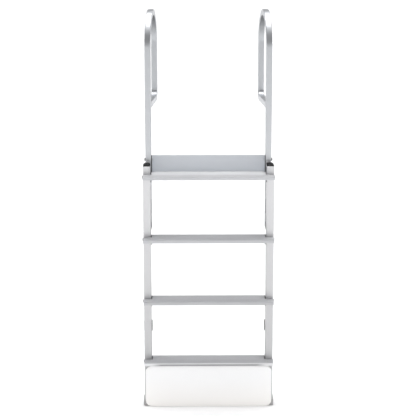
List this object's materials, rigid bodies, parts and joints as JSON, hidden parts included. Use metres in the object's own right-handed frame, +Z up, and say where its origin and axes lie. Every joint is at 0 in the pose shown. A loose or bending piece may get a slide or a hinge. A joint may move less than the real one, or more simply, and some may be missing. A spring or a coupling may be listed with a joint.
{
  "type": "dock ladder",
  "caption": "Aluminium dock ladder with closed hand loops, box rails, ribbed wrap-round treads, a riser plate at the dock and a plain white lower panel.",
  "frame": {"origin": "centre of the riser plate's back face, which lies against the edge of the dock", "axes": "+Z up, +Y from the water into the dock, +X to the right as seen from the water"},
  "size_m": [0.633, 0.463, 1.9095],
  "materials": {
    "handrail_tube": "satin anodised",
    "rail_extrusion": "satin anodised",
    "tread_extrusion": "ribbed, mill finish",
    "sheet_aluminium": "brushed sheet",
    "bracket_aluminium": "mill finish",
    "grey_plastic": "moulded, matt",
    "black_plastic": "moulded, satin",
    "black_rubber": "matt",
    "white_panel": "smooth, semi-gloss",
    "stainless_bolts": "bright machined"
  },
  "bodies": {
    "root": {"bottom_tread": "tread_extrusion", "left_bottom_tread_bracket": "bracket_aluminium", "left_bottom_tread_spacer": "black_plastic", "left_bumper": "black_rubber", "left_foot_cap": "grey_plastic", "left_handrail": "handrail_tube", "left_panel_clips": "bracket_aluminium", "left_post_plug": "grey_plastic", "left_rail": "rail_extrusion", "left_rail_cap": "black_plastic", "left_riser_pad": "black_rubber", "left_second_tread_bracket": "bracket_aluminium", "left_second_tread_spacer": "black_plastic", "left_third_tread_bracket": "bracket_aluminium", "left_third_tread_spacer": "black_plastic", "left_top_tread_bracket": "bracket_aluminium", "left_top_tread_spacer": "black_plastic", "lower_panel": "white_panel", "right_bottom_tread_bracket": "bracket_aluminium", "right_bottom_tread_spacer": "black_plastic", "right_bumper": "black_rubber", "right_foot_cap": "grey_plastic", "right_handrail": "handrail_tube", "right_panel_clips": "bracket_aluminium", "right_post_plug": "grey_plastic", "right_rail": "rail_extrusion", "right_rail_cap": "black_plastic", "right_riser_pad": "black_rubber", "right_second_tread_bracket": "bracket_aluminium", "right_second_tread_spacer": "black_plastic", "right_third_tread_bracket": "bracket_aluminium", "right_third_tread_spacer": "black_plastic", "right_top_tread_bracket": "bracket_aluminium", "right_top_tread_spacer": "black_plastic", "riser_plate": "sheet_aluminium", "second_tread": "tread_extrusion", "third_tread": "tread_extrusion", "top_tread": "tread_extrusion"}
  },
  "joints": []
}
